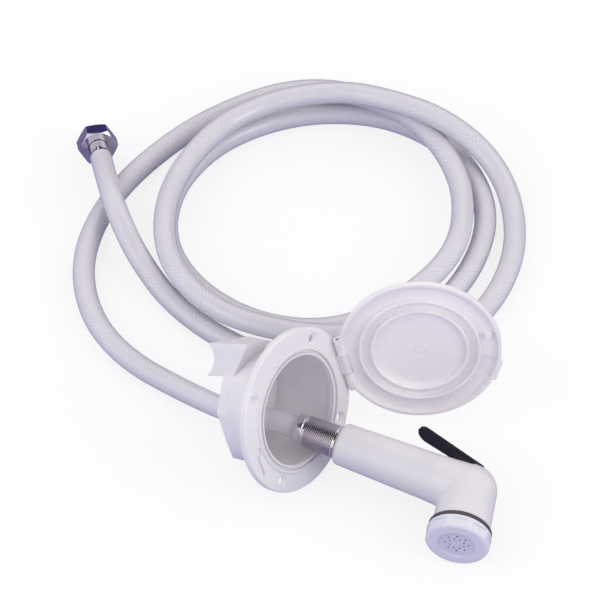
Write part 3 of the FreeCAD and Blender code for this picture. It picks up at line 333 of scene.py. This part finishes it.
def spray_face():
    """Pale spray face tinted lavender as painted shade, with painted shade inside its holes."""
    # Its lavender tint is painted shade on the face.
    made = plastic("spray_face", (218, 219, 236), (210, 212, 232), rough=0.42, edge=0.0003)
    axis = Vector(named(frame["joints"], "nozzle_turn")["axis"]).normalized()
    front = reach_along("spray_plate", Vector((0, 0, 0)), axis)[1]
    along = made.dot(made.node("TexCoord").outputs["Object"], axis)
    outside = made.span(along, 0.0, 1.0, front - HOLE_DEEP, front - HOLE_SHALLOW)
    pale = made.surface.inputs["Base Color"].links[0].from_socket
    # Painted shade: near black inside the holes, below the face's front.
    made.set(Base_Color=made.step("MixRGB", outside, linear(12, 10, 24), pale))
    return made


def hose_shader():
    """Milky clear hose with a braid of crossing threads in its wall."""
    made = Shader("hose_braid")
    split = made.node("SeparateXYZ", Vector=made.node("UVMap", uv_map="along").outputs[0])
    around, along = split.outputs[0], split.outputs[1]
    heights = []
    for way in (1.0, -1.0):
        slanted = made.step("Math", around, way, along, operation="MULTIPLY_ADD")
        angle = made.step("Math", slanted, 2 * math.pi, operation="MULTIPLY")
        wave = made.step("Math", angle, operation="SINE")
        heights.append(made.span(wave, 0.0, 1.0, start=-0.2, end=0.9))
    braid = made.step("Math", *heights, operation="MAXIMUM")
    made.set(Base_Color=made.ramp(braid, (0.0, (190, 186, 206)), (1.0, (247, 244, 246))),
             Normal=made.bump(braid, 0.0002, Strength=0.7),
             Roughness=0.2, IOR=1.5, Subsurface_Weight=0.25, Subsurface_Radius=(0.004, 0.004, 0.005),
             Subsurface_Scale=0.5, Coat_Weight=0.8, Coat_Roughness=0.1)
    return made


def route_line():
    """Points of the smooth curve through the hose's route."""
    curve = bpy.data.curves.new("hose_route", "CURVE")
    curve.dimensions = "3D"
    curve.resolution_u = CURVE_STEPS
    spline = curve.splines.new("NURBS")
    spline.points.add(len(HOSE_ROUTE_MM) - 1)
    for point, (x, y, z) in zip(spline.points, HOSE_ROUTE_MM):
        point.co = (x * MM, y * MM, z * MM, 1.0)
    spline.order_u = 3
    spline.use_endpoint_u = True
    line = link("hose_route", curve)
    bpy.context.view_layer.update()
    mesh = bpy.data.meshes.new_from_object(line)
    spots = [vertex.co.copy() for vertex in mesh.vertices]
    bpy.data.objects.remove(line)
    return spots


def runs_along(spots):
    """The way gone along a line of points, at each of them."""
    runs = [0.0]
    for before, after in zip(spots, spots[1:]):
        runs.append(runs[-1] + (after - before).length)
    return runs


def evenly(spots, step):
    """Points at an even step along a line of points."""
    runs = runs_along(spots)
    count = round(runs[-1] / step)
    made = []
    at = 0
    for index in range(count + 1):
        want = runs[-1] * index / count
        while at < len(runs) - 2 and runs[at + 1] < want:
            at += 1
        part = (want - runs[at]) / (runs[at + 1] - runs[at])
        made.append(spots[at].lerp(spots[at + 1], min(max(part, 0.0), 1.0)))
    return made


def sweep(name, spots, radius, sides, turns_around, pitch):
    """A tube along points, with the way round it and along it kept in a map."""
    points = []
    across = None
    for index, spot in enumerate(spots):
        before = spots[max(index - 1, 0)]
        after = spots[min(index + 1, len(spots) - 1)]
        way = (after - before).normalized()
        across = way.orthogonal() if across is None else across - way * across.dot(way)
        across.normalize()
        other = way.cross(across)
        for side in range(sides):
            angle = 2 * math.pi * side / sides
            points.append(spot + (across * math.cos(angle) + other * math.sin(angle)) * radius)
    tube = mesh_piece(name, points, ring_faces(len(spots), sides))
    layer = tube.data.uv_layers.new(name="along")
    runs = runs_along(spots)
    for face in tube.data.polygons:
        row, side = divmod(face.index, sides)
        corners = ((side, row), (side + 1, row), (side + 1, row + 1), (side, row + 1))
        for loop, (around, at) in zip(face.loop_indices, corners):
            layer.data[loop].uv = (around / sides * turns_around, runs[at] / pitch)
    return tube


def make_hose():
    """The hose along its route."""
    line = route_line()
    spots = evenly(line, HOSE_STEP)
    threads = round(2 * math.pi * HOSE_RADIUS / BRAID_PITCH)
    hose = sweep("hose_tube", spots, HOSE_RADIUS, HOSE_SIDES, threads, BRAID_PITCH)
    hose.data.materials.append(hose_shader().material)
    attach(hose, "base")
    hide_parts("hose")


def knurl_depth(turn, along):
    """How deep the knurl is cut at a turn (in turns) and a place along the nut."""
    if not KNURL_START < along < KNURL_END:
        return 0.0
    edge = min(along - KNURL_START, KNURL_END - along) / KNURL_FADE
    height = 1.0
    for way in (1.0, -1.0):
        phase = (KNURL_TEETH * turn + way * along / KNURL_PITCH) % 1.0
        height = min(height, abs(2 * phase - 1))
    return KNURL_DEPTH * (1 - height) * min(edge, 1.0)


def ferrule_radius(along):
    """Outside radius of the knurled nut without its knurl."""
    share = (along - FERRULE_BACK) / (FERRULE_FRONT - FERRULE_BACK)
    radius = FERRULE_SMALL + (FERRULE_LARGE - FERRULE_SMALL) * share
    end = max(min(along - FERRULE_BACK, FERRULE_FRONT - along) / FERRULE_BEVEL, 0.0)
    if end < 1:
        radius -= FERRULE_BEVEL * (1 - math.sqrt(1 - (1 - end) ** 2))
    off = abs(along - GROOVE_AT) / GROOVE_HALF
    if off < 1:
        radius -= GROOVE_DEPTH * (1 - off * off)
    return radius


def make_ferrule():
    """The knurled nut that holds the hose to the handle."""
    place = facing(SWIVEL_POINT, SWIVEL_WAY)
    sides = KNURL_TEETH * SIDES_PER_TOOTH
    spots = []
    cuts = []
    for row in range(FERRULE_ROWS + 1):
        along = FERRULE_BACK + (FERRULE_FRONT - FERRULE_BACK) * row / FERRULE_ROWS
        for side in range(sides):
            cut = knurl_depth(side / sides, along)
            spots.append(round_spot(place, ferrule_radius(along) - cut, side / sides, along))
            cuts.append(cut / KNURL_DEPTH)
    for along in (FERRULE_FRONT, FERRULE_BACK):
        for side in range(sides):
            spots.append(round_spot(place, FERRULE_BORE, side / sides, along))
            cuts.append(0.0)
    faces = ring_faces(len(spots) // sides, sides, closed=True)
    nut = mesh_piece("ferrule_knurled", spots, faces)
    # The cut kept on each point drives the painted shade in the knurl's grooves.
    nut.data.attributes.new("cut", "FLOAT", "POINT").data.foreach_set("value", cuts)
    nut.data.materials.append(knurled_chrome_painted_shade().material)
    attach(nut, "handset")
    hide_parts("ferrule_nut")


def make_thread(shader):
    """The thread's ridges inside the hexagon nut."""
    bore = named(frame["record"]["mounts"], "inlet_thread")
    place = facing(Vector(bore["pos_m"]), Vector(bore["axis"]).normalized())
    half = bore["dims"]["length_mm"] * MM / 2 - THREAD_END_GAP
    root = bore["dims"]["r_mm"] * MM - THREAD_WALL_GAP
    spots = []
    for row in range(THREAD_ROWS + 1):
        along = half * (2 * row / THREAD_ROWS - 1)
        edge = min(1.0, (half - abs(along)) / THREAD_FADE)
        for side in range(THREAD_SIDES):
            turn = side / THREAD_SIDES
            phase = (along / THREAD_PITCH + turn) % 1.0
            ridge = THREAD_DEPTH * edge * (1 - abs(2 * phase - 1))
            spots.append(round_spot(place, root - ridge, turn, along))
    thread = mesh_piece("nut_thread", spots, ring_faces(THREAD_ROWS + 1, THREAD_SIDES, inward=True))
    thread.data.materials.append(shader.material)
    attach(thread, "hex_nut")


def paint(shader, *names):
    """Gives nodes of the part a material."""
    for name in names:
        data = NODES[name].data
        data.materials.clear()
        data.materials.append(shader.material)


def paint_plastics():
    """Materials of the plastic pieces that stay."""
    shell = plastic("housing_shell", (240, 237, 238), (233, 230, 234), rough=0.38, edge=0.0008)
    shell.set(Subsurface_Weight=0.35, Subsurface_Radius=(1.0, 0.95, 0.95), Subsurface_Scale=0.003)
    paint(shell, "housing")
    paint(plastic("lid_white", (252, 247, 248), (247, 242, 245), rough=0.30, edge=0.0006, coat=0.2),
          "lid")
    paint(plastic("handset_white", (229, 226, 229), (223, 220, 226), rough=0.32, edge=0.0006, coat=0.2),
          "handset_body")
    # The nozzle cap's lavender tint is painted shade.
    paint(plastic("nozzle_white_painted_shade", (229, 229, 239), (223, 223, 237), rough=0.34, edge=0.0005),
          "nozzle_cap")
    paint(plastic("collar_grey", (88, 78, 83), (76, 67, 73), rough=0.40, edge=0.0003, gloss=0.3),
          "collar_ring")
    paint(plastic("dark_violet", (38, 32, 40), (30, 25, 33), rough=0.34, edge=0.0006, gloss=0.3),
          "lever")
    paint(plastic("valve_plastic", (225, 224, 228), (214, 213, 220), rough=0.4, edge=0.0002),
          "valve_bonnet", "valve_seat", "valve_disc")
    paint(spray_face(), "spray_plate")


def paint_metals(chrome):
    """Materials of the metal and rubber pieces that stay."""
    paint(chrome, "end_collar", "hex_nut")
    paint(metal("steel", (196, 196, 200), (176, 176, 182), rough=0.22, edge=0.0002),
          "hinge_pin", "lever_pin", "valve_spring")
    paint(metal("brass", (206, 172, 104), (188, 150, 84), rough=0.25, edge=0.0002),
          "inlet_nipple", "hose_tail", "end_tail", "valve_stem")
    paint(rubber("seal", (40, 39, 42), (30, 29, 32)),
          "stem_seal", "nozzle_gasket", "inlet_washer", "nut_washer")


def add_camera():
    """The photograph's viewpoint."""
    data = bpy.data.cameras.new("camera")
    data.lens = CAMERA_LENS
    data.sensor_width = CAMERA_SENSOR
    data.clip_end = CAMERA_REACH
    camera = link("camera", data)
    away = Vector((0, -math.sin(CAMERA_TILT), math.cos(CAMERA_TILT)))
    camera.location = LOOK_AT + away * CAMERA_DISTANCE
    camera.rotation_euler = (CAMERA_TILT, 0, 0)
    bpy.context.scene.camera = camera


def glow_colour(made):
    """The sum of soft lobes of light, each strongest in its own direction."""
    where = made.node("TexCoord").outputs["Generated"]
    total = (0.0, 0.0, 0.0)
    for way, colour in GLOW:
        share = made.step("Math", made.dot(where, way), 0.0, operation="MAXIMUM")
        lobe = made.node("VectorMath", operation="SCALE", Vector=colour, Scale=share)
        total = made.step("VectorMath", total, lobe.outputs[0], operation="ADD")
    return total


def add_world():
    """White where it is seen, a soft studio glow where it lights."""
    world = bpy.data.worlds.new("studio")
    made = NodeTree(world)
    glow = made.step("Background", glow_colour(made))
    seen = made.step("Background", WHITE)
    share = made.seen_rays("Is Camera Ray", "Is Glossy Ray", "Is Transmission Ray")
    made.node("OutputWorld", Surface=made.step("MixShader", share, glow, seen))
    bpy.context.scene.world = world


def square(name, centre, half):
    """A flat square about a centre."""
    x, y, z = centre
    corners = [(x - half, y - half, z), (x + half, y - half, z),
               (x + half, y + half, z), (x - half, y + half, z)]
    return mesh_piece(name, corners, [(0, 1, 2, 3)], smooth=False)


def add_floor():
    """Pale floor: white with a faint shadow where it is seen, lavender where it lights and mirrors."""
    floor = square("floor", (0.0, 0.0, -FLOOR_DROP), FLOOR_HALF)
    material = bpy.data.materials.new("floor")
    made = NodeTree(material)
    seen = made.step("MixShader", FLOOR_GLOW, made.step("BsdfDiffuse", WHITE), made.step("Emission", WHITE))
    seen_share = made.seen_rays("Is Camera Ray", "Is Transmission Ray")
    look = made.step("MixShader", seen_share, made.step("BsdfDiffuse", FLOOR_COLOUR), seen)
    mirrored = made.step("Emission", FLOOR_GLOSS)
    look = made.step("MixShader", made.seen_rays("Is Glossy Ray"), look, mirrored)
    made.node("OutputMaterial", Surface=look)
    floor.data.materials.append(material)


def stage_card(card, colour):
    """Makes a piece a card of one colour, which only gloss and chrome reflect."""
    material = bpy.data.materials.new(card.name)
    made = NodeTree(material)
    made.node("OutputMaterial", Surface=made.step("Emission", (*colour, 1)))
    card.data.materials.append(material)
    card.visible_camera = False
    card.visible_diffuse = False
    card.visible_transmission = False
    card.visible_shadow = False


def upright_card(name, turns, rises, reach=CARD_REACH, steps=8):
    """A bent upright card behind the object, from one turn to another off straight back, in degrees."""
    spots = []
    for step in range(steps + 1):
        turn = math.radians(turns[0] + (turns[1] - turns[0]) * step / steps)
        for rise in rises:
            height = reach * math.tan(math.radians(rise))
            spots.append((reach * math.sin(turn), CARD_CENTRE_Y + reach * math.cos(turn), height))
    faces = [(2 * step, 2 * step + 2, 2 * step + 3, 2 * step + 1) for step in range(steps)]
    return mesh_piece(name, spots, faces, smooth=False)


def add_cards():
    """The cards that give the chrome its dark bands."""
    right = upright_card("card_right", turns=(-16, 62), rises=(-1, 27))
    stage_card(right, (0.05, 0.04, 0.15))
    left = upright_card("card_left", turns=(-75, -33), rises=(-1, 27))
    stage_card(left, (0.34, 0.32, 0.34))
    stripe = upright_card("card_stripe", turns=(-33, -26), rises=(-1, 40), reach=STRIPE_REACH, steps=2)
    stage_card(stripe, (0.03, 0.02, 0.04))
    top = square("card_top", centre=(-0.4, -0.1, 1.7), half=1.0)
    stage_card(top, (0.04, 0.03, 0.045))


def add_lamp(name, spot, size, watts, colour):
    """A soft square lamp that shines at the object."""
    data = bpy.data.lights.new(name, "AREA")
    data.shape = "SQUARE"
    data.size = size
    data.energy = watts
    data.color = colour
    lamp = link(name, data)
    lamp.location = spot
    lamp.rotation_euler = (LAMP_TARGET - Vector(spot)).to_track_quat("-Z", "Y").to_euler()


bpy.context.scene.view_settings.view_transform = "Standard"
add_camera()
chrome = metal("chrome", (222, 218, 224), (205, 200, 212), rough=0.09, edge=0.0004)
make_hose()
make_ferrule()
make_thread(chrome)
paint_plastics()
paint_metals(chrome)
add_world()
add_floor()
add_cards()
add_lamp("key", (-1.5, -0.7, 1.6), size=1.2, watts=5.0, colour=(1.0, 0.99, 0.98))
add_lamp("side", (1.6, -0.9, 1.2), size=1.0, watts=8.4, colour=(1.0, 0.985, 0.97))
